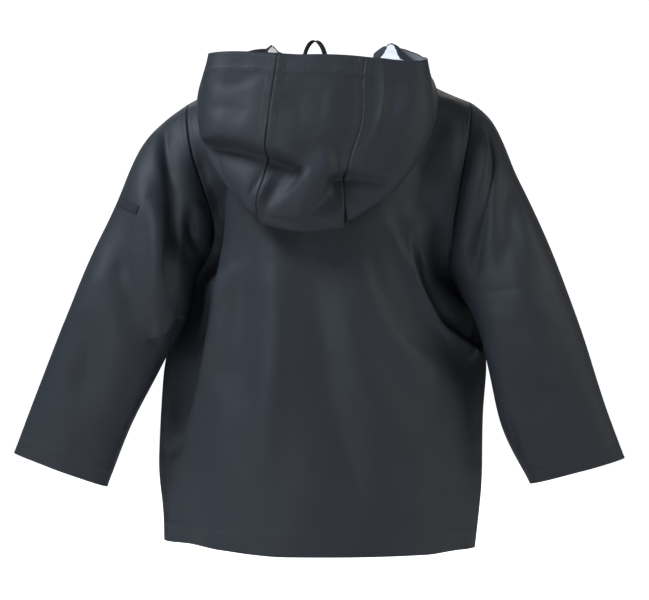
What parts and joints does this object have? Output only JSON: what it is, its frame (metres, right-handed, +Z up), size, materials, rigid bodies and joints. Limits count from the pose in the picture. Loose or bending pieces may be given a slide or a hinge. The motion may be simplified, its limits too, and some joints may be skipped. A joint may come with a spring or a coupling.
{
  "type": "raincoat",
  "caption": "Children's hooded raincoat in dark navy coated cloth, filled out as if worn, with open neck, cuffs and hem, a hood hanging down the back and a snapped front placket.",
  "frame": {"origin": "the middle of the neck opening, at the height of the shoulder seams' inner ends", "axes": "+Z up, -Y out of the garment's front, +Y out of its back, +X towards the wearer's left sleeve; the width over the two sleeves lies along X and the depth from front to back along Y"},
  "size_m": [0.698, 0.2574, 0.5859],
  "materials": {
    "coated_cloth": "satin polyurethane-coated rain cloth, dark navy",
    "lining_jersey": "matt white jersey lining",
    "snap_metal": "dark lacquered snap cap, semi-gloss",
    "loop_tape": "matt dark round-woven tape",
    "woven_label": "matt woven band, bare"
  },
  "bodies": {
    "root": {"back": "coated_cloth", "front_left": "coated_cloth", "front_right": "coated_cloth", "sleeve_left": "coated_cloth", "sleeve_right": "coated_cloth", "hood_right": "coated_cloth", "hood_middle": "coated_cloth", "hood_left": "coated_cloth", "hood_lining": "lining_jersey", "placket": "coated_cloth", "snap_1": "snap_metal", "snap_2": "snap_metal", "snap_3": "snap_metal", "snap_4": "snap_metal", "snap_5": "snap_metal", "hanging_loop": "loop_tape", "sleeve_label": "woven_label"}
  },
  "joints": []
}
